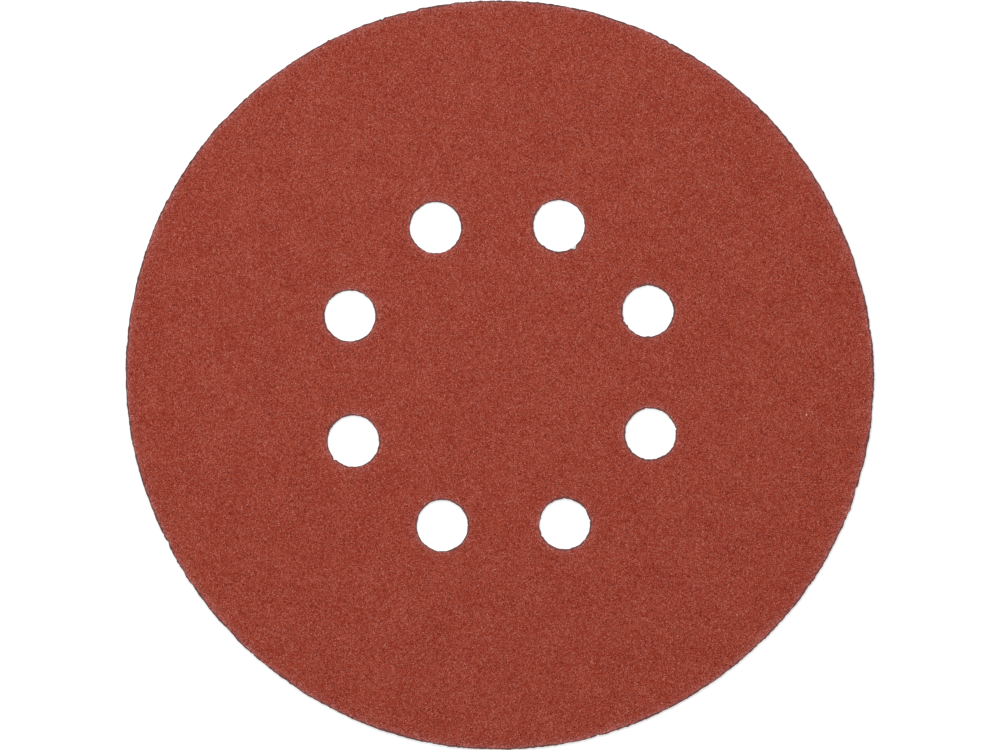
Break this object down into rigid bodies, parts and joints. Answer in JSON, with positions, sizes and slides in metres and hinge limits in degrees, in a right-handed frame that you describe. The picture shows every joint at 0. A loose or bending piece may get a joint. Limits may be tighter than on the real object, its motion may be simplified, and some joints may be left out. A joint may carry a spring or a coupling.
{
  "type": "hook and loop sanding disc",
  "caption": "Round abrasive disc on a loop cloth back, with a ring of dust holes that line up with a sander's pad.",
  "frame": {"origin": "centre of the disc's underside, where the loop pile meets the pad", "axes": "+Z out of the grain face, +X along the wales of the loop cloth; both X and Y pass midway between two holes"},
  "size_m": [0.15, 0.15, 0.0015],
  "materials": {
    "grain_and_resin": "matte",
    "paper": "matte",
    "loop_cloth": "matte"
  },
  "bodies": {
    "root": {"grain_coat": "grain_and_resin", "paper_sheet": "paper", "cloth_with_loops": "loop_cloth"}
  },
  "joints": []
}
